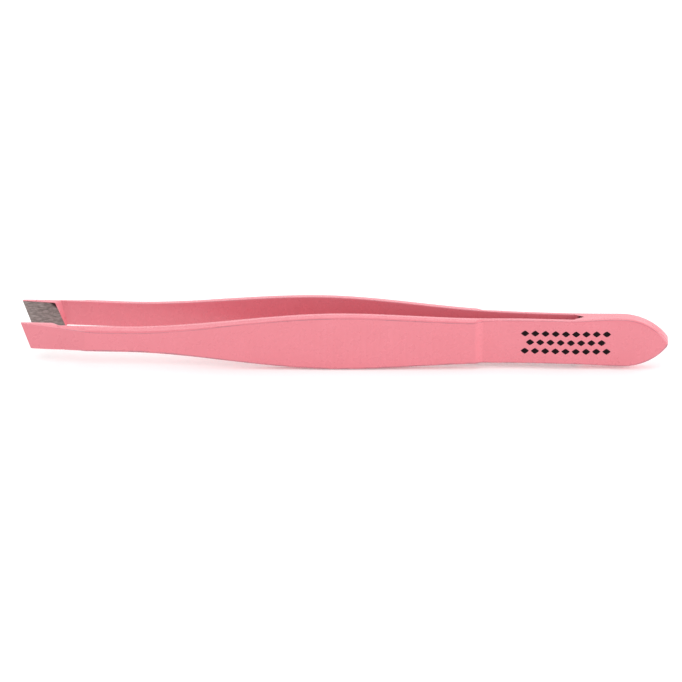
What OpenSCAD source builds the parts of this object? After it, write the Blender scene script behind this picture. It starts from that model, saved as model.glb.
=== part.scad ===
// Slant tweezers: two sprung steel blades, welded flat at the tail and enamelled, standing on
// their long lower edges. X runs from the jaws (-X) to the round end (+X), the front blade is
// on -Y, and Z is up. The origin is at the middle of the base of the bounding box.
// A station is a distance from the jaws, along X.

/* [Outline] */
// Overall length, from the slanted jaws to the round end
overall_l = 95; // [94.5:0.5:100]
// Height of the jaws at their edge
tip_w = 4.05; // [3.6:0.05:4.4]
// Height of the slim neck behind the jaws
neck_w = 3.85; // [3.3:0.05:4.1]
// Height at the widest part of the grip
belly_w = 8.7; // [7.5:0.1:9.5]
// Height of the thin spring section
spring_w = 7; // [6.4:0.1:7.4]
// Height of the tail
tail_w = 7.7; // [7.2:0.1:8]
// Radius of each side of the round end
nose_side_r = 8.4; // [7.8:0.1:9.4]
// Radius at the point of the round end
nose_point_r = 1; // [0.6:0.1:1.5]

/* [Thickness] */
// Thickness of one painted blade at the neck
neck_t = 1.25; // [1:0.05:1.4]
// Thickness of one painted blade at the grip
grip_t = 1.2; // [1.1:0.05:1.4]
// Thickness of one painted blade in the spring section
spring_t = 0.76; // [0.7:0.02:0.9]
// Thickness of one painted blade at the tail
tail_t = 1.2; // [1.1:0.05:1.3]
// Thickness of the enamel coat
enamel_t = 0.1; // [0.08:0.01:0.12]

/* [Spread] */
// Half of the gap between the blades along the spring section
slot_half = 0.8; // [0.7:0.02:0.9]
// Angle at which each arm leaves the spring section
arm_angle = 2.96; // [2.8:0.02:3.2]
// Outward bow of each arm, midway along it
arm_bow = 0.55; // [0.3:0.01:0.6]
// Angle by which each arm bends in to close the jaws
close_angle = 2.88; // [2.8:0.02:3]

/* [Jaws] */
// Length of the ground jaw facet, along its top edge
jaw_l = 4.7; // [4.5:0.05:5]
// Slope of the jaw edge: how far it runs back for each millimetre down
jaw_slope = 0.38; // [0.3:0.01:0.45]
// Slope of the facet's back edge, measured the same way
facet_slope = 0.44; // [0.3:0.01:0.45]
// Thickness of the jaw at its edge
tip_t = 0.4; // [0.4:0.05:0.6]
// Space left between each closed jaw and the middle plane
jaw_clear = 0.02; // [0.01:0.01:0.05]

/* [Printed mark] */
// Width of one printed lozenge
mark_w = 1.2; // [1:0.1:1.4]
// Height of one printed lozenge
mark_h = 0.95; // [0.8:0.05:1.1]
// Distance between lozenges in a row
mark_pitch = 1.5; // [1.4:0.1:1.6]
// Distance between rows
mark_row_pitch = 1.4; // [1.2:0.1:1.5]
// Lozenges in the upper and lower rows
mark_columns = 9; // [7:2:9]

/* [Hidden] */

steel = "silver";
enamel = "lightpink";
ink = "black";

// Stations where the blade changes, in order from the jaws.
jaw_ramp_end = jaw_l + 0.9;
neck_s = 7;
bevel_end = 9.5;
flare_start = 15;
grip_start = 16;
belly_s = 47;
shoulder_start = 66.6;
shoulder_end = 67.9;
arm_end = 69.2;
bend_s = 75;
spring_end = 80;
slot_taper_start = 81.2;
slot_end = 82.6;
tail_s = 87;

// The round end: two side arcs that run into a small arc at the point.
nose_centre_z = tail_w/2 - nose_side_r;
nose_reach = sqrt(pow(nose_side_r - nose_point_r, 2) - pow(nose_centre_z, 2));
nose_start = overall_l - nose_point_r - nose_reach;
nose_turn = atan2(nose_reach, -nose_centre_z);
nose_last_turn = 84;

// The arm leaves the spring section at its foot and runs straight to the neck, apart from its bow.
arm_foot = 73;
arm_slope = tan(arm_angle);
arm_reach = arm_foot - neck_s;
// How sharply the arm's inner face turns into the spring section.
foot_blend = 0.2;

// How far the enamel stops behind a ground facet, and how far a cut runs past a face.
enamel_lip = 0.06;
overrun = 0.1;

// Outer edge roundings as [station, across the thickness, across the height].
outer_edges = [[0, 0.1, 0.15], [4, 0.35, 0.2], [8.5, 0.8, 0.4], [11, 0.95, 0.65], [20, 0.95, 0.65],
               [30, 0.6, 0.5], [66, 0.6, 0.5], [70, 0.3, 0.3], [80, 0.3, 0.3], [87, 0.4, 0.4]];
inner_edge = 0.12;
// The most of a blade's thickness that an outer edge rounding takes.
edge_share = 0.6;
// Steps in each quarter turn of an outer edge.
edge_steps = 3;
// Slope of the station rings as [station, slope], so that they follow the slanted jaw.
ring_slopes = [[0, jaw_slope], [jaw_l, facet_slope], [jaw_ramp_end, 0.26], [neck_s + 0.5, 0]];

jaw_stations = [0.5, 1.5, 3.2, jaw_l, jaw_l + 0.12, jaw_ramp_end, neck_s + 0.5, 8.5, bevel_end,
                11, 13];
arm_stations = [for (s = [15 : 2 : 65]) s];
shoulder_stations = [shoulder_start, 67, 67.5, shoulder_end, arm_end];
spring_stations = [for (s = [70 : 1 : spring_end]) s];
tail_stations = [slot_taper_start, slot_end, 83.5, 84.5, 85.5, tail_s, nose_start];
// Past the start of the round end, a station counts the turn of the outline in degrees.
nose_turns = [for (turn = [8 : 8 : 80]) nose_start + turn];
stations = concat(jaw_stations, arm_stations, shoulder_stations, spring_stations, tail_stations,
                  nose_turns);

weld_r = 1.5;
weld_depth = 0.4;
weld_stations = [85.6, 90];

mark_s = 80;
ink_t = 0.03;
ink_sunk = 0.02;

centre_z = belly_w/2;

// Rises smoothly from 0 at station a to 1 at station b.
function rise(s, a, b) = let (t = min(1, max(0, (s - a)/(b - a)))) t*t*(3 - 2*t);

// The greater of two values, rounded where they cross.
function smooth_max(a, b, r) = (a + b + sqrt(pow(a - b, 2) + r*r))/2;

function column(table, s, i) = lookup(s, [for (row = table) [row[0], row[i]]]);

// Half of the blade's height along the blade, up to the round end.
function half_height(s) =
    (tip_w + (neck_w - tip_w)*rise(s, 0, neck_s)
    + (belly_w - neck_w)*rise(s, flare_start, belly_s)
    + (spring_w - belly_w)*rise(s, belly_s, arm_end)
    + (tail_w - spring_w)*rise(s, spring_end, nose_start))/2;

// The outline at a station, as [x, half height, outward normal along x, along z].
function outline(s) = s <= nose_start ? [s, half_height(s), 0, 1] :
    let (turn = s - nose_start)
    turn <= nose_turn
        ? [nose_start + nose_side_r*sin(turn), nose_centre_z + nose_side_r*cos(turn),
           sin(turn), cos(turn)]
        : [overall_l - nose_point_r + nose_point_r*sin(turn), nose_point_r*cos(turn),
           sin(turn), cos(turn)];

// Distance of the arm's painted inner face from the middle plane.
function arm_inner(s) = smooth_max(
    slot_half + (arm_foot - s)*arm_slope + arm_bow*sin(180*(arm_foot - s)/arm_reach),
    slot_half, foot_blend);

// Distance of the ground jaw facet from the middle plane, which it lies along when closed.
function jaw_face(s) = jaw_clear + (bend_s - s)*tan(close_angle);

// Distance of the inner face from the middle plane, depth under the enamel surface.
function inner(s, depth) =
    s <= jaw_l ? jaw_face(s) + (depth > 0 ? 0 : enamel_lip) :
    s < jaw_ramp_end
        ? jaw_face(jaw_l) + depth
          + (arm_inner(jaw_ramp_end) - jaw_face(jaw_l))*(s - jaw_l)/(jaw_ramp_end - jaw_l) :
    s < slot_taper_start ? arm_inner(s) + depth :
    (slot_half + depth)*max(0, (slot_end - s)/(slot_end - slot_taper_start));

function thickness(s) = neck_t + (grip_t - neck_t)*rise(s, grip_start, belly_s)
    + (spring_t - grip_t)*rise(s, shoulder_start, shoulder_end);

// How far the outside of the jaw is tapered off at its edge.
tip_bevel = arm_inner(0) + neck_t - jaw_face(0) - tip_t;

// Distance of the painted outer face from the middle plane.
function outer(s) = arm_inner(min(s, spring_end)) + thickness(s)
    - tip_bevel*max(0, 1 - s/bevel_end)
    + (tail_t - arm_inner(spring_end) - spring_t)*rise(s, spring_end, tail_s);

// One point of a ring: y from the middle plane, inset from the outline, side -1 below or 1 above.
function ring_point(s, depth, y, inset, side) =
    let (o = outline(s), z = side*(o[1] - (depth + inset)*o[3]))
    [o[0] - (depth + inset)*o[2] + lookup(s, ring_slopes)*(tip_w/2 - z) - overall_l/2,
     y, centre_z + z];

// The outer edge at one side, from the face across the thickness to the outer face.
function outer_edge(s, depth, side) = [for (i = [0 : edge_steps])
    let (turn = 90*i/edge_steps, room = outer(s) - inner(s, 0),
         ry = min(column(outer_edges, s, 1), edge_share*room), rz = column(outer_edges, s, 2))
    ring_point(s, depth, outer(s) - depth - ry*(1 - sin(turn)), rz*(1 - cos(turn)), side)];

function reversed(list) = [for (i = [len(list) - 1 : -1 : 0]) list[i]];

// The rear blade's outer side at a station, from below to above.
function outer_half(s, depth) =
    concat(outer_edge(s, depth, -1), reversed(outer_edge(s, depth, 1)));

// The whole ring of the rear blade at a station.
function blade_ring(s, depth) = let (y = inner(s, depth)) concat(
    [ring_point(s, depth, y, inner_edge, -1), ring_point(s, depth, y + inner_edge, 0, -1)],
    outer_half(s, depth),
    [ring_point(s, depth, y + inner_edge, 0, 1), ring_point(s, depth, y, inner_edge, 1)]);

// The ring around both tail plates together.
function tail_ring(s, depth) = let (half = outer_half(s, depth))
    concat(half, reversed([for (p = half) [p[0], -p[1], p[2]]]));

// The stations from a to b.
function between(a, b) = concat([a], [for (s = stations) if (s > a && s < b) s], [b]);

// A closed solid through a list of rings with the same number of points.
module loft(rings) {
    n = len(rings[0]);
    last = len(rings) - 1;
    sides = [for (i = [0 : last - 1], j = [0 : n - 1])
        let (k = (j + 1) % n, a = i*n + j, b = i*n + k, c = (i + 1)*n + k, d = (i + 1)*n + j)
        each [[a, d, c], [a, c, b]]];
    ends = [[for (j = [0 : n - 1]) j], [for (j = [n - 1 : -1 : 0]) last*n + j]];
    polyhedron([for (ring = rings) each ring], concat(sides, ends));
}

// The rear blade between two stations, depth under the enamel surface.
module blade(a, b, depth) {
    loft([for (s = between(a, b)) blade_ring(s, depth)]);
}

// The enamel coat on the rear blade between two stations, open at both ends.
module coat(a, b) {
    color(enamel) difference() {
        blade(a, b, 0);
        blade(a - overrun, b + overrun, enamel_t);
    }
}

module tail_solid(a, depth) {
    loft([for (s = between(a, nose_start + nose_last_turn)) tail_ring(s, depth)]);
}

// Places a disc at each weld, reaching to the given depth on both sides of the middle plane.
module weld_discs() {
    for (s = weld_stations)
        translate([s - overall_l/2, 0, centre_z])
            rotate([90, 0, 0])
                cylinder(h = 2*weld_depth, r = weld_r, center = true, $fn = 48);
}

module tail_plate() {
    color(steel) difference() {
        blade(slot_end, nose_start + nose_last_turn, enamel_t);
        weld_discs();
    }
}

module spring_leaf() {
    color(steel) blade(arm_end, slot_end, enamel_t);
}

module arm_blade() {
    color(steel) blade(0, arm_end, enamel_t);
}

// One printed lozenge on the front face, at a station and a height from the blade's middle.
module lozenge(s, z) {
    lean = atan(outer(s + 0.5) - outer(s - 0.5));
    translate([s - overall_l/2, -outer(s) + ink_sunk, centre_z + z])
        rotate([90, 0, -lean])
            linear_extrude(ink_t + ink_sunk)
                polygon([[-mark_w/2, 0], [0, -mark_h/2], [mark_w/2, 0], [0, mark_h/2]]);
}

module front_tail_plate() { mirror([0, 1, 0]) tail_plate(); }
module rear_tail_plate() { tail_plate(); }
module front_spring_leaf() { mirror([0, 1, 0]) spring_leaf(); }
module rear_spring_leaf() { spring_leaf(); }
module front_arm_blade() { mirror([0, 1, 0]) arm_blade(); }
module rear_arm_blade() { arm_blade(); }
module weld_nuggets() { color(steel) weld_discs(); }

module tail_enamel() {
    color(enamel) difference() {
        tail_solid(slot_end, 0);
        tail_solid(slot_end - overrun, enamel_t);
    }
}

module front_spring_enamel() { mirror([0, 1, 0]) coat(arm_end, slot_end); }
module rear_spring_enamel() { coat(arm_end, slot_end); }
module front_arm_enamel() { mirror([0, 1, 0]) coat(0, arm_end); }
module rear_arm_enamel() { coat(0, arm_end); }

// Three staggered rows of lozenges on the front of the tail.
module printed_mark() {
    color(ink) for (row = [-1 : 1]) {
        columns = mark_columns - (row == 0 ? 1 : 0);
        for (i = [0 : columns - 1])
            lozenge(mark_s + (i - (columns - 1)/2)*mark_pitch, row*mark_row_pitch);
    }
}

front_tail_plate();
rear_tail_plate();
front_spring_leaf();
rear_spring_leaf();
front_arm_blade();
rear_arm_blade();
weld_nuggets();
tail_enamel();
front_spring_enamel();
rear_spring_enamel();
front_arm_enamel();
rear_arm_enamel();
printed_mark();
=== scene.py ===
import math

import bpy
import numpy as np
from mathutils import Matrix, Vector


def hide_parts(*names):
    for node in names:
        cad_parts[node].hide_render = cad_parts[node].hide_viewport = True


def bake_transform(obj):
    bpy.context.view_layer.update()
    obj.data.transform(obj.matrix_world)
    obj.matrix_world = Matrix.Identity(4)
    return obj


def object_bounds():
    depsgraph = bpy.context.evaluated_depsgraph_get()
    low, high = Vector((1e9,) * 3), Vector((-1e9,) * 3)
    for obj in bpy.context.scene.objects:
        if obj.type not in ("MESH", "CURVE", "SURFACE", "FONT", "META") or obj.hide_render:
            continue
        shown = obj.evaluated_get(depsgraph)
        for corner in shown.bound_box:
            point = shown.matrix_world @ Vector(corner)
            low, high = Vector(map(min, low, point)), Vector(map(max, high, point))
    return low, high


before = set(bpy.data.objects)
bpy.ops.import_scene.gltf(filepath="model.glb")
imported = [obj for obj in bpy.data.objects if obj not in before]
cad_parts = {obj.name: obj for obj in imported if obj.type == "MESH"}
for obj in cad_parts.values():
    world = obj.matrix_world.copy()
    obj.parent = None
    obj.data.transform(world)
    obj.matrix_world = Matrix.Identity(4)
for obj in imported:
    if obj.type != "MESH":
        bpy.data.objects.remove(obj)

CAD_LOW, CAD_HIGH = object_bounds()
SCENE = bpy.context.scene

# Slant tweezers: each blade is one continuous steel piece under one continuous enamel coat.
# Lengths in the profile functions are in millimetres. A station s is a distance from the jaws
# along X, and the rear blade is described; the front one is its mirror.

MM = 0.001
JAW_X = CAD_LOW.x / MM
OVERALL_L = 95.0
CENTRE_Z = (CAD_HIGH.z + CAD_LOW.z) / 2 / MM

TIP_W, NECK_W, BELLY_W, SPRING_W, TAIL_W = 4.05, 3.85, 8.7, 7.0, 7.7
NOSE_SIDE_R, NOSE_POINT_R = 8.4, 1.0
NECK_T, GRIP_T, SPRING_T, TAIL_T = 1.25, 1.2, 0.76, 1.2
ENAMEL_T = 0.1
SLOT_HALF = 0.8
ARM_ANGLE, ARM_BOW, CLOSE_ANGLE = 2.96, 0.55, 2.88
JAW_L, JAW_SLOPE, FACET_SLOPE, TIP_T, JAW_CLEAR = 4.7, 0.38, 0.44, 0.4, 0.02
JAW_RAMP_END, NECK_S, TAPER_END = JAW_L + 0.9, 7.0, 9.5
FLARE_START, GRIP_START, BELLY_S = 15.0, 16.0, 47.0
SHOULDER_START, SHOULDER_END, ARM_END = 66.6, 67.9, 69.2
BEND_S, SPRING_END, SLOT_TAPER_START, SLOT_END, TAIL_S = 75.0, 80.0, 81.2, 82.6, 87.0
ARM_FOOT, FOOT_BLEND = 73.0, 0.2

NOSE_CENTRE_Z = TAIL_W / 2 - NOSE_SIDE_R
NOSE_REACH = math.sqrt((NOSE_SIDE_R - NOSE_POINT_R) ** 2 - NOSE_CENTRE_Z**2)
NOSE_START = OVERALL_L - NOSE_POINT_R - NOSE_REACH
NOSE_TURN = math.atan2(NOSE_REACH, -NOSE_CENTRE_Z)
ARM_SLOPE = math.tan(math.radians(ARM_ANGLE))
ARM_REACH = ARM_FOOT - NECK_S

# Outer edges along the blade: size across the thickness, across the height, and flatness, which
# is 0 for a rounded edge and 1 for a flat chamfer.
EDGE_S = [0, 4, 8.5, 9.5, 11, 20, 30, 66, 70, 80, 87]
EDGE_Y = [0.1, 0.4, 0.85, 0.9, 0.95, 0.95, 0.6, 0.6, 0.3, 0.3, 0.4]
EDGE_Z = [0.05, 0.16, 0.4, 0.53, 0.65, 0.65, 0.5, 0.5, 0.3, 0.3, 0.4]
EDGE_FLAT = [0.9, 0.9, 0.9, 0.2, 0, 0, 0, 0, 0, 0, 0]
INNER_EDGE = 0.12
# The most of a blade's thickness that an outer edge takes.
EDGE_SHARE = 0.6
# Slope of the cross-sections, so that they follow the slanted jaw.
SLOPE_S = [0, JAW_L, JAW_RAMP_END, NECK_S + 0.5]
SLOPES = [JAW_SLOPE, FACET_SLOPE, 0.26, 0.0]
# The end of each jaw is rounded off over this length, by this much.
END_ROUND_L, END_ROUND = 0.55, 0.16
# The enamel stops this far behind the ground facet, and the steel runs this far past it in front.
FACET_LIP, STEEL_PROUD = 0.012, 0.03
# Shallow cross lines on the outside of the grip, deeper towards its lower edge.
GROOVE_START, GROOVE_END, GROOVE_PITCH, GROOVE_DEPTH = 41.5, 62.5, 0.97, 0.018
GROOVE_FADE, GROOVE_MEAN, GROOVE_SLANT = 3, 0.75, 0.25

# Stations where the spacing of the cross-sections changes, lengths of the two short runs at the
# jaw, and the last turn of the round end's outline, in degrees.
JAW_END_RUN, FACET_STEP_RUN = 1.0, 0.08
TAPER_RUN_START, TAPER_RUN_END = TAPER_END - 1, TAPER_END + 1.5
SHOULDER_RUN_START, SHOULDER_RUN_END, SPRING_RUN_START = 66.0, 69.0, 70.0
NOSE_LAST_TURN = 89.5

# Points of half a cross-section, from the middle of the inner face over the top to that of the
# outer face. An edge has one more point than it has steps, and so does the flat top.
INNER_FACE_POINTS, INNER_EDGE_STEPS, TOP_STEPS, OUTER_EDGE_STEPS = 8, 4, 4, 9
OUTER_FACE_POINTS = 12
# A face has a point this share of the way to its edge, so that it shades flat.
NEAR_EDGE = 0.985
# How near the outermost points of the flat top are to its edges, as a share of its width.
TOP_CLOSE = 0.04
# Inner edges at the jaws and slot, and in the crevice, and the most of a thickness they take.
SHARP_EDGE, CREVICE_EDGE, INNER_EDGE_SHARE = 0.015, 0.004, 0.3

# Columns of the mesh where the coat is painted with a darker rim, as painted shade along the
# edges:
# the middle of the inner edge, and the foot of the outer edge, which moves up along the blade by
# RIM_RISES at RIM_RISE_S.
INNER_RIM_COLUMN = INNER_FACE_POINTS + 1 + INNER_EDGE_STEPS // 2
RIM_COLUMN = INNER_FACE_POINTS + 1 + INNER_EDGE_STEPS + 1 + TOP_STEPS + 1 + OUTER_EDGE_STEPS
RIM_RISE_S, RIM_RISES = [27, 30, 66, 70], [0, -1, -1, -4]
# The rim of the lower outer edge, where painted shade darkens the coat under the blade, as
# [first, past the last], counted on from the column just after the one that mirrors RIM_COLUMN.
LOWER_RIM = [1, 6]
UPPER_RIM_SHADE, LOWER_RIM_SHADE, INNER_RIM_SHADE = 1.0, 0.8, 0.9


def rise(s, a, b):
    """Rises smoothly from 0 at station a to 1 at station b."""
    t = np.clip((s - a) / (b - a), 0, 1)
    return t * t * (3 - 2 * t)


def half_height(s):
    """Half of the blade's height along the blade, up to the round end."""
    return (TIP_W + (NECK_W - TIP_W) * rise(s, 0, NECK_S)
            + (BELLY_W - NECK_W) * rise(s, FLARE_START, BELLY_S)
            + (SPRING_W - BELLY_W) * rise(s, BELLY_S, ARM_END)
            + (TAIL_W - SPRING_W) * rise(s, SPRING_END, NOSE_START)) / 2


def arm_inner(s):
    """Distance of the painted inner face from the middle plane."""
    bow = ARM_BOW * np.sin(np.pi * (ARM_FOOT - s) / ARM_REACH)
    y = SLOT_HALF + (ARM_FOOT - s) * ARM_SLOPE + bow
    return (y + SLOT_HALF + np.sqrt((y - SLOT_HALF) ** 2 + FOOT_BLEND**2)) / 2


def jaw_face(s):
    """Distance of the ground jaw facet from the middle plane."""
    return JAW_CLEAR + (BEND_S - s) * math.tan(math.radians(CLOSE_ANGLE))


def inner(s, depth):
    """Distance of the inner face from the middle plane, depth under the enamel surface."""
    lip = 0.0 if depth > 0 else FACET_LIP
    facet_end = jaw_face(JAW_L)
    ramp_foot = arm_inner(np.array(JAW_RAMP_END))
    ramp = facet_end + depth + (ramp_foot - facet_end) * (s - JAW_L) / (JAW_RAMP_END - JAW_L)
    slot = (SLOT_HALF + depth) * np.clip((SLOT_END - s) / (SLOT_END - SLOT_TAPER_START), 0, 1)
    return np.where(s <= JAW_L, jaw_face(s) + lip,
                    np.where(s < JAW_RAMP_END, ramp,
                             np.where(s < SLOT_TAPER_START, arm_inner(s) + depth, slot)))


def thickness(s):
    return (NECK_T + (GRIP_T - NECK_T) * rise(s, GRIP_START, BELLY_S)
            + (SPRING_T - GRIP_T) * rise(s, SHOULDER_START, SHOULDER_END))


def outer(s):
    """Distance of the painted outer face from the middle plane."""
    bevel = float(arm_inner(np.array(0.0))) + NECK_T - jaw_face(0) - TIP_T
    end = np.clip(1 - s / END_ROUND_L, 0, 1)
    return (arm_inner(np.minimum(s, SPRING_END)) + thickness(s)
            - bevel * np.clip(1 - s / TAPER_END, 0, None)
            - END_ROUND * (1 - np.sqrt(1 - end**2))
            + (TAIL_T - float(arm_inner(np.array(SPRING_END))) - SPRING_T)
            * rise(s, SPRING_END, TAIL_S))


def grooves(s):
    """Depth of the grip's cross lines."""
    fade = (rise(s, GROOVE_START, GROOVE_START + GROOVE_FADE)
            * (1 - rise(s, GROOVE_END - GROOVE_FADE, GROOVE_END)))
    wave = 0.5 - 0.5 * np.cos(2 * np.pi * (s - GROOVE_START) / GROOVE_PITCH)
    return GROOVE_DEPTH * fade * wave**2


def stations(first):
    """Cross-sections along a blade, close together where its shape changes quickly. Past the
    start of the round end they are turns of its outline, as NOSE_START plus radians."""
    runs = [(first, JAW_END_RUN, 26), (JAW_END_RUN, JAW_L, 24),
            (JAW_L, JAW_L + FACET_STEP_RUN, 4), (JAW_L + FACET_STEP_RUN, JAW_RAMP_END, 16),
            (JAW_RAMP_END, TAPER_RUN_START, 20), (TAPER_RUN_START, TAPER_RUN_END, 30),
            (TAPER_RUN_END, FLARE_START, 20), (FLARE_START, GROOVE_START, 70),
            (GROOVE_START, GROOVE_END, 252), (GROOVE_END, SHOULDER_RUN_START, 12),
            (SHOULDER_RUN_START, SHOULDER_RUN_END, 60), (SHOULDER_RUN_END, SPRING_RUN_START, 6),
            (SPRING_RUN_START, SLOT_TAPER_START, 40), (SLOT_TAPER_START, SLOT_END, 22),
            (SLOT_END, NOSE_START, 24)]
    along = [np.linspace(a, b, n, endpoint=False) for a, b, n in runs]
    side = NOSE_START + np.linspace(0, NOSE_TURN, 34, endpoint=False)
    point = NOSE_START + np.linspace(NOSE_TURN, math.radians(NOSE_LAST_TURN), 26)
    return np.concatenate(along + [side, point])


def outline(s):
    """x, half height and the outline's outward normal at each station."""
    turn = np.maximum(s - NOSE_START, 0)
    on_side = turn <= NOSE_TURN
    radius = np.where(on_side, NOSE_SIDE_R, NOSE_POINT_R)
    x_nose = np.where(on_side, NOSE_START, OVERALL_L - NOSE_POINT_R) + radius * np.sin(turn)
    z_nose = np.where(on_side, NOSE_CENTRE_Z, 0) + radius * np.cos(turn)
    before = s <= NOSE_START
    return (np.where(before, s, x_nose), np.where(before, half_height(s), z_nose),
            np.where(before, 0, np.sin(turn)), np.where(before, 1, np.cos(turn)))


def quarter(steps):
    return np.linspace(0, math.pi / 2, steps + 1)


def eased(n, close):
    """Shares between 0 and 1 in n steps, but with the two end ones only close to 0 and 1."""
    inside = np.linspace(0, 1, n + 1)[1:-1]
    return np.concatenate([[close], inside, [1 - close]])


def half_section(s, depth):
    """The upper half of every cross-section, from near the middle of the inner face over the top
    to near that of the outer face: arrays [station, point] of y, inset and share of the height."""
    y_in, y_out = inner(s, depth)[:, None], (outer(s) - depth)[:, None]
    room = y_out - y_in
    edge = np.where((s < JAW_L) | (s > SLOT_TAPER_START), SHARP_EDGE, INNER_EDGE)
    edge = np.where(s >= SLOT_END, CREVICE_EDGE, edge)
    edge = np.minimum(edge[:, None], INNER_EDGE_SHARE * room)
    painted_room = (outer(s) - inner(s, 0.0))[:, None]
    ry = np.minimum(np.interp(s, EDGE_S, EDGE_Y)[:, None], EDGE_SHARE * painted_room)
    rz = np.interp(s, EDGE_S, EDGE_Z)[:, None]
    ones = np.ones_like(y_in)
    parts = []
    face = (np.arange(INNER_FACE_POINTS)[None, :] + 0.5) / INNER_FACE_POINTS
    parts.append((y_in * np.ones_like(face), edge * np.ones_like(face), ones * face))
    parts.append((y_in, edge, ones * NEAR_EDGE))
    a = quarter(INNER_EDGE_STEPS)[None, :]
    parts.append((y_in + edge * (1 - np.cos(a)), edge * (1 - np.sin(a)), ones * np.ones_like(a)))
    t = eased(TOP_STEPS, TOP_CLOSE)[None, :]
    flat_y = (y_in + edge) + (y_out - ry - y_in - edge) * t
    parts.append((flat_y, 0 * flat_y, ones * np.ones_like(t)))
    a = quarter(OUTER_EDGE_STEPS)[None, :]
    t = np.linspace(0, 1, OUTER_EDGE_STEPS + 1)[None, :]
    flat = np.interp(s, EDGE_S, EDGE_FLAT)[:, None]
    in_y = (1 - np.sin(a)) * (1 - flat) + (1 - t) * flat
    in_z = (1 - np.cos(a)) * (1 - flat) + t * flat
    parts.append((y_out - ry * in_y, rz * in_z, ones * np.ones_like(a)))
    parts.append((y_out, rz, ones * NEAR_EDGE))
    face = np.linspace(1, 0, OUTER_FACE_POINTS + 1)[1:-1][None, :]
    parts.append((y_out * np.ones_like(face), rz * np.ones_like(face), ones * face))
    y = np.concatenate([p[0] for p in parts], 1)
    inset = np.concatenate([p[1] for p in parts], 1)
    share = np.concatenate([p[2] for p in parts], 1)
    return y, inset, share


def grid(first, depth, front):
    """Vertex grid [station, point, xyz] of one whole blade, and the station of each row."""
    s = stations(first)
    y, inset, share = half_section(s, depth)
    n = y.shape[1]
    # Up from the middle of the inner face, over the top, down the outer face, and back below.
    order = list(range(n)) + [n - 1 - i for i in range(n)]
    side = np.array([1] * n + [-1] * n)
    y, inset, share = y[:, order], inset[:, order], share[:, order] * side
    column = np.arange(2 * n)
    on_outer_face = ((np.abs(share) < 1) & (column >= n - OUTER_FACE_POINTS)
                     & (column < n + OUTER_FACE_POINTS))
    lower_more = GROOVE_MEAN - GROOVE_SLANT * share
    y = y - np.where(on_outer_face, grooves(s)[:, None] * lower_more * (1 - share**6), 0)
    x_o, h, nx, nz = (v[:, None] for v in outline(s))
    z = share * (h - (depth + inset) * nz)
    slope = np.interp(s, SLOPE_S, SLOPES)[:, None]
    x = x_o - (depth + inset) * nx + slope * (TIP_W / 2 - z)
    points = np.stack([JAW_X + x, -y if front else y, CENTRE_Z + z], -1) * MM
    return points, s


def blade_mesh(name, first, depth, front):
    """One closed blade-shaped mesh, with what its material needs kept as attributes: station, rim
    and crevice, which mark painted shade, and the height from -1 to 1 across the grip."""
    points, s = grid(first, depth, front)
    rows, cols = points.shape[:2]
    i, j = np.meshgrid(np.arange(rows - 1), np.arange(cols), indexing="ij")
    k = (j + 1) % cols
    quads = np.stack([i * cols + j, i * cols + k, (i + 1) * cols + k, (i + 1) * cols + j], -1)
    quads = quads.reshape(-1, 4)
    if not front:
        quads = quads[:, ::-1]
    faces = [tuple(q) for q in quads.tolist()]
    half = cols // 2
    for row, flip in ((0, front), (rows - 1, not front)):
        base = row * cols
        for c in range(half - 1):
            cap = (base + c, base + c + 1, base + cols - 2 - c, base + cols - 1 - c)
            faces.append(cap[::-1] if flip else cap)
    mesh = bpy.data.meshes.new(name)
    mesh.from_pydata([tuple(p) for p in points.reshape(-1, 3).tolist()], [], faces)
    mesh.polygons.foreach_set("use_smooth", [True] * len(mesh.polygons))
    # Painted shade: the rim columns darken the coat's colour along the edges, most under the lower
    # edge.
    rim = np.zeros((rows, cols))
    upper = RIM_COLUMN + np.round(np.interp(s, RIM_RISE_S, RIM_RISES)).astype(int)
    rim[np.arange(rows), upper] = UPPER_RIM_SHADE
    lower_first, lower_past = (cols - RIM_COLUMN + step for step in LOWER_RIM)
    rim[:, lower_first:lower_past] = LOWER_RIM_SHADE
    rim[s > FLARE_START, INNER_RIM_COLUMN] = INNER_RIM_SHADE
    # Painted shade: the coat darkens inside the slot towards its end.
    crevice = np.zeros((rows, cols))
    inside = INNER_RIM_COLUMN + 1
    crevice_shade = rise(s, SLOT_TAPER_START, SLOT_END)[:, None]
    crevice[:, :inside] = crevice_shade
    crevice[:, cols - inside:] = crevice_shade
    kept = {"station": np.repeat(s, cols), "rim": rim.reshape(-1), "crevice": crevice.reshape(-1),
            "up": ((points[..., 2] / MM - CENTRE_Z) / (BELLY_W / 2)).reshape(-1)}
    for key, values in kept.items():
        layer = mesh.attributes.new(key, "FLOAT", "POINT")
        layer.data.foreach_set("value", values.astype(np.float32))
    mesh.validate()
    mesh.update()
    return mesh


def sharpen(mesh, degrees):
    """Marks edges that turn by more than this as sharp."""
    mesh.set_sharp_from_angle(angle=math.radians(degrees))


def add(name, mesh, material):
    obj = bpy.data.objects.new(name, mesh)
    SCENE.collection.objects.link(obj)
    obj.data.materials.append(material)
    return obj


# Camera: a long lens in front of the blades, above them and very slightly to the right.
CAM_ELEVATION, CAM_AZIMUTH, CAM_ROLL = math.radians(25.0), math.radians(0.9), math.radians(1.17)
FRAME_W, LENS, SENSOR = 100.15, 1000.0, 36.0
AIM_RIGHT, AIM_UP = -0.54, -1.25


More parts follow.
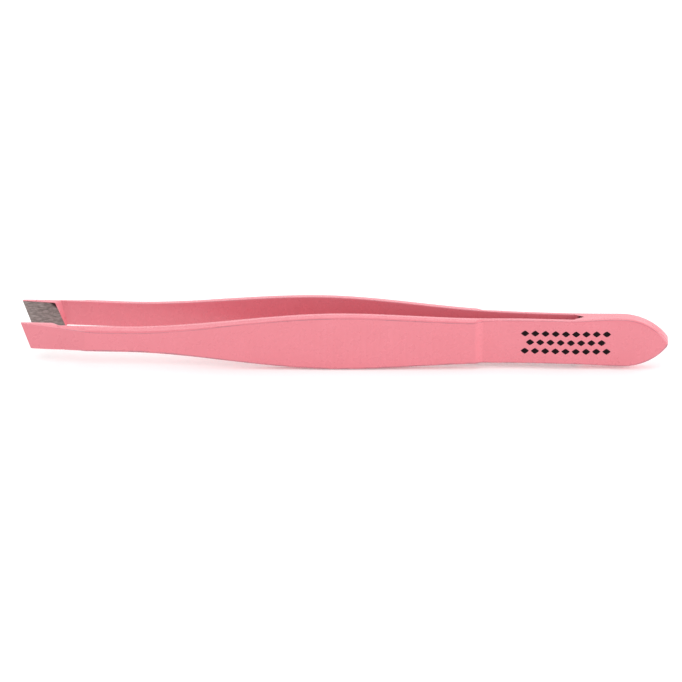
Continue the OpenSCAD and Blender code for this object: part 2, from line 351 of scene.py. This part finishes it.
def make_camera():
    sin_e, cos_e = math.sin(CAM_ELEVATION), math.cos(CAM_ELEVATION)
    sin_a, cos_a = math.sin(CAM_AZIMUTH), math.cos(CAM_AZIMUTH)
    right = Vector((cos_a, sin_a, 0))
    up = Vector((-sin_a * sin_e, cos_a * sin_e, cos_e))
    turned_right = right * math.cos(CAM_ROLL) + up * math.sin(CAM_ROLL)
    turned_up = up * math.cos(CAM_ROLL) - right * math.sin(CAM_ROLL)
    back = turned_right.cross(turned_up)
    data = bpy.data.cameras.new("camera")
    data.lens, data.sensor_width = LENS, SENSOR
    data.clip_start, data.clip_end = 0.05, 20.0
    cam = bpy.data.objects.new("camera", data)
    SCENE.collection.objects.link(cam)
    middle = Vector(((CAD_LOW.x + CAD_HIGH.x) / 2, (CAD_LOW.y + CAD_HIGH.y) / 2, CENTRE_Z * MM))
    aim = middle + (turned_right * AIM_RIGHT + turned_up * AIM_UP) * MM
    place = aim + back * (LENS * FRAME_W / SENSOR * MM)
    cam.matrix_world = Matrix.Translation(place) @ Matrix(
        (turned_right, turned_up, back)).transposed().to_4x4()
    SCENE.camera = cam


make_camera()


# Materials.

def node_material(name):
    mat = bpy.data.materials.new(name)
    mat.use_nodes = True
    tree = mat.node_tree
    return mat, tree, tree.nodes["Principled BSDF"]


def noise(tree, scale, detail=3.0, rough=0.5, stretch=(1, 1, 1), turn=(0, 0, 0)):
    """A noise texture in object space: scale is in cells per metre."""
    coords = tree.nodes.new("ShaderNodeTexCoord")
    mapping = tree.nodes.new("ShaderNodeMapping")
    mapping.inputs["Scale"].default_value = stretch
    mapping.inputs["Rotation"].default_value = turn
    tex = tree.nodes.new("ShaderNodeTexNoise")
    tex.inputs["Scale"].default_value = scale
    tex.inputs["Detail"].default_value = detail
    tex.inputs["Roughness"].default_value = rough
    tree.links.new(coords.outputs["Object"], mapping.inputs["Vector"])
    tree.links.new(mapping.outputs["Vector"], tex.inputs["Vector"])
    return tex.outputs["Fac"]


def ramp(tree, source, stops):
    """A colour ramp from [(position, colour), ...]."""
    node = tree.nodes.new("ShaderNodeValToRGB")
    elements = node.color_ramp.elements
    while len(elements) < len(stops):
        elements.new(0.5)
    for element, (position, colour) in zip(elements, stops):
        element.position = position
        element.color = (*colour, 1)
    tree.links.new(source, node.inputs["Fac"])
    return node.outputs["Color"]


def spread(tree, source, low, high, to_low, to_high):
    node = tree.nodes.new("ShaderNodeMapRange")
    node.inputs["From Min"].default_value = low
    node.inputs["From Max"].default_value = high
    node.inputs["To Min"].default_value = to_low
    node.inputs["To Max"].default_value = to_high
    tree.links.new(source, node.inputs["Value"])
    return node.outputs["Result"]


def bump(tree, height, distance, strength, normal=None):
    node = tree.nodes.new("ShaderNodeBump")
    node.inputs["Strength"].default_value = strength
    node.inputs["Distance"].default_value = distance
    tree.links.new(height, node.inputs["Height"])
    if normal is not None:
        tree.links.new(normal, node.inputs["Normal"])
    return node.outputs["Normal"]


def attribute(tree, name):
    node = tree.nodes.new("ShaderNodeAttribute")
    node.attribute_name = name
    return node.outputs["Fac"]


def math_node(tree, operation, a, b):
    node = tree.nodes.new("ShaderNodeMath")
    node.operation = operation
    for value, socket in ((a, node.inputs[0]), (b, node.inputs[1])):
        if isinstance(value, (int, float)):
            socket.default_value = value
        else:
            tree.links.new(value, socket)
    return node.outputs[0]


def blend_colours(tree, factor, under, over):
    """Mixes a plain colour over a colour socket, by a factor socket."""
    node = tree.nodes.new("ShaderNodeMix")
    node.data_type = "RGBA"
    tree.links.new(factor, node.inputs["Factor"])
    tree.links.new(under, node.inputs["A"])
    node.inputs["B"].default_value = (*over, 1)
    return node.outputs["Result"]


def enamel_material():
    mat, tree, shader = node_material("pink_enamel")
    tone = noise(tree, 260, 4.0, 0.55)
    colour = ramp(tree, tone, [(0.25, (0.75, 0.195, 0.239)), (0.75, (0.772, 0.209, 0.256))])
    # The coat is painted darker along the rims, as painted shade along its edges.
    rim = attribute(tree, "rim")
    patchy = spread(tree, noise(tree, 450, 2.0), 0.35, 0.6, 0.35, 1.0)
    rim_shade = math_node(tree, "MULTIPLY", rim, patchy)
    colour = blend_colours(tree, rim_shade, colour, (0.36, 0.14, 0.175))
    # Painted shade deep in the end of the slot.
    crevice = spread(tree, attribute(tree, "crevice"), 0.1, 0.5, 0.0, 0.95)
    colour = blend_colours(tree, crevice, colour, (0.04, 0.01, 0.01))
    tree.links.new(colour, shader.inputs["Base Color"])
    roughness = spread(tree, noise(tree, 700, 3.0), 0.3, 0.7, 0.25, 0.31)
    tree.links.new(roughness, shader.inputs["Roughness"])
    fine = bump(tree, noise(tree, 2600, 2.0), 0.000012, 0.2)
    tree.links.new(bump(tree, noise(tree, 220, 1.0), 0.00003, 0.2, fine), shader.inputs["Normal"])
    shader.inputs["IOR"].default_value = 1.66
    return mat


def steel_material():
    mat, tree, shader = node_material("ground_steel")
    streaks = noise(tree, 1300, 4.0, 0.62, stretch=(1, 1, 3.2), turn=(0, 0.75, 0))
    colour = ramp(tree, streaks, [(0.34, (0.17, 0.138, 0.131)), (0.5, (0.265, 0.22, 0.21)),
                                  (0.66, (0.39, 0.33, 0.315))])
    # Painted shade: the ground facet is painted darker towards its back top corner, beside the
    # enamel's step.
    back = spread(tree, attribute(tree, "station"), JAW_L - 1.4, JAW_L - 0.1, 0.0, 1.0)
    corner = spread(tree, attribute(tree, "up"), 0.1, 0.44, 0.0, 1.0)
    corner_shade = spread(tree, math_node(tree, "ADD", back, corner), 1.25, 1.6, 0.0, 0.95)
    colour = blend_colours(tree, corner_shade, colour, (0.03, 0.012, 0.012))
    tree.links.new(colour, shader.inputs["Base Color"])
    shader.inputs["Metallic"].default_value = 0.75
    roughness = spread(tree, noise(tree, 1500, 3.0), 0.3, 0.7, 0.38, 0.55)
    tree.links.new(roughness, shader.inputs["Roughness"])
    lines = noise(tree, 1400, 4.0, 0.7, stretch=(9, 1, 1), turn=(0, 0.7, 0))
    tree.links.new(bump(tree, lines, 0.00001, 0.5), shader.inputs["Normal"])
    return mat


def ink_material():
    mat, tree, shader = node_material("print_ink")
    colour = ramp(tree, noise(tree, 3000, 3.0),
                  [(0.3, (0.006, 0.002, 0.003)), (0.7, (0.012, 0.004, 0.005))])
    tree.links.new(colour, shader.inputs["Base Color"])
    shader.inputs["Roughness"].default_value = 0.55
    shader.inputs["Specular IOR Level"].default_value = 0.1
    tree.links.new(bump(tree, noise(tree, 6000, 2.0), 0.000004, 0.4), shader.inputs["Normal"])
    return mat


def floor_material():
    mat, tree, shader = node_material("floor_paper")
    colour = ramp(tree, noise(tree, 40, 2.0),
                  [(0.3, (0.90, 0.90, 0.90)), (0.7, (0.92, 0.92, 0.92))])
    tree.links.new(colour, shader.inputs["Base Color"])
    shader.inputs["Roughness"].default_value = 0.9
    shader.inputs["Specular IOR Level"].default_value = 0.0
    shader.inputs["Emission Color"].default_value = (1, 1, 1, 1)
    shader.inputs["Emission Strength"].default_value = 0.17
    return mat


ENAMEL, STEEL, INK = enamel_material(), steel_material(), ink_material()


# The two blades and their coats.


def bend_with(obj):
    """Bakes the piece's placement into its mesh."""
    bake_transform(obj)


for end, is_front in (("front", True), ("rear", False)):
    steel_mesh = blade_mesh(end + "_blade", 0.0, ENAMEL_T, is_front)
    sharpen(steel_mesh, 35)
    blade = add(end + "_blade", steel_mesh, STEEL)
    bend_with(blade)
    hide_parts(end + "_tail_plate", end + "_spring_leaf", end + "_arm_blade")

    coat_mesh = blade_mesh(end + "_enamel", STEEL_PROUD, 0.0, is_front)
    sharpen(coat_mesh, 35)
    coat = add(end + "_enamel", coat_mesh, ENAMEL)
    bend_with(coat)
    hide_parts("tail_enamel", end + "_spring_enamel", end + "_arm_enamel")


# The printed mark: three staggered rows of lozenges on the front of the tail.
MARK_S, MARK_W, MARK_H = 80.0, 1.2, 0.95
MARK_PITCH, MARK_ROW_PITCH, MARK_COLUMNS = 1.5, 1.4, 9
INK_T, INK_SUNK = 0.02, 0.02
LOZENGE_STEPS, LOZENGE_SWELL = 8, 0.1
# Rings of a lozenge as (size, height above the enamel): its sunk foot, the edge of the ink's
# face, and two smaller rings inside that.
LOZENGE_RINGS = ((1.0, -INK_SUNK), (1.0, INK_T * 0.6), (0.93, INK_T), (0.5, INK_T))


def lozenge_outline():
    """Corners of a lozenge with slightly swollen sides, anticlockwise from the right."""
    corners = [(MARK_W / 2, 0), (0, MARK_H / 2), (-MARK_W / 2, 0), (0, -MARK_H / 2)]
    points = []
    for (x0, z0), (x1, z1) in zip(corners, corners[1:] + corners[:1]):
        for i in range(LOZENGE_STEPS):
            t = i / LOZENGE_STEPS
            swell = 1 + LOZENGE_SWELL * math.sin(math.pi * t)
            points.append(((x0 + (x1 - x0) * t) * swell, (z0 + (z1 - z0) * t) * swell))
    return points


def mark_mesh():
    shape = lozenge_outline()
    n = len(shape)
    verts, faces = [], []
    for row in (-1, 0, 1):
        count = MARK_COLUMNS - (1 if row == 0 else 0)
        for c in range(count):
            s0 = MARK_S + (c - (count - 1) / 2) * MARK_PITCH
            z0 = row * MARK_ROW_PITCH
            base = len(verts)
            for size, lift in LOZENGE_RINGS:
                for x, z in shape:
                    s = s0 + x * size
                    y = float(outer(np.array(s))) + lift
                    verts.append((JAW_X + s, -y, CENTRE_Z + z0 + z * size))
            verts.append((JAW_X + s0, -(float(outer(np.array(s0))) + INK_T), CENTRE_Z + z0))
            last = len(LOZENGE_RINGS) - 1
            for r in range(last):
                for i in range(n):
                    k = (i + 1) % n
                    a, b = base + r * n, base + (r + 1) * n
                    faces.append((a + i, a + k, b + k, b + i))
            for i in range(n):
                k = (i + 1) % n
                faces.append((base + last * n + i, base + last * n + k, base + (last + 1) * n))
            faces.append(tuple(base + i for i in reversed(range(n))))
    mesh = bpy.data.meshes.new("mark")
    mesh.from_pydata([tuple(v * MM for v in p) for p in verts], [], faces)
    mesh.validate()
    mesh.update()
    return mesh


mark = add("mark", mark_mesh(), INK)
bend_with(mark)
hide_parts("printed_mark")

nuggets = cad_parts["weld_nuggets"]
nuggets.data.materials.clear()
nuggets.data.materials.append(STEEL)


# The floor and light.

FLOOR_HALF = 3.0
floor_mesh = bpy.data.meshes.new("floor")
floor_mesh.from_pydata([(-FLOOR_HALF, -FLOOR_HALF, 0), (FLOOR_HALF, -FLOOR_HALF, 0),
                        (FLOOR_HALF, FLOOR_HALF, 0), (-FLOOR_HALF, FLOOR_HALF, 0)],
                       [], [(0, 1, 2, 3)])
floor = add("floor", floor_mesh, floor_material())

world = bpy.data.worlds.new("studio")
SCENE.world = world
world.use_nodes = True
background = world.node_tree.nodes["Background"]
background.inputs["Color"].default_value = (1, 1, 1, 1)
background.inputs["Strength"].default_value = 0.57


def soft_light(name, place, target, width, height, watts):
    data = bpy.data.lights.new(name, "AREA")
    data.shape, data.size, data.size_y, data.energy = "RECTANGLE", width, height, watts
    obj = bpy.data.objects.new(name, data)
    SCENE.collection.objects.link(obj)
    obj.location = place
    direction = Vector(target) - Vector(place)
    obj.rotation_euler = direction.to_track_quat("-Z", "Y").to_euler()
    obj.visible_camera = False


PANEL_DISTANCE = 1.2
# Watts for each square metre of a panel of radiance 1.
PANEL_WATTS = 4


def panel(name, azimuth, elevation, width, height, radiance):
    """A soft panel facing the middle; azimuth 0 is in front, and grows towards +X."""
    a, e = math.radians(azimuth), math.radians(elevation)
    toward = Vector((math.cos(e) * math.sin(a), -math.cos(e) * math.cos(a), math.sin(e)))
    watts = PANEL_WATTS * width * height * radiance
    soft_light(name, toward * PANEL_DISTANCE, (0, 0, 0), width, height, watts)


panel("back_panel", 180, 27, 2.0, 0.65, 0.95)
panel("top_panel", 180, 88, 0.65, 1.5, 1.35)
panel("left_panel", -30, 50, 0.7, 0.5, 1.95)
panel("right_panel", 77, 15, 0.6, 0.6, 4.4)

SCENE.view_settings.view_transform = "Standard"
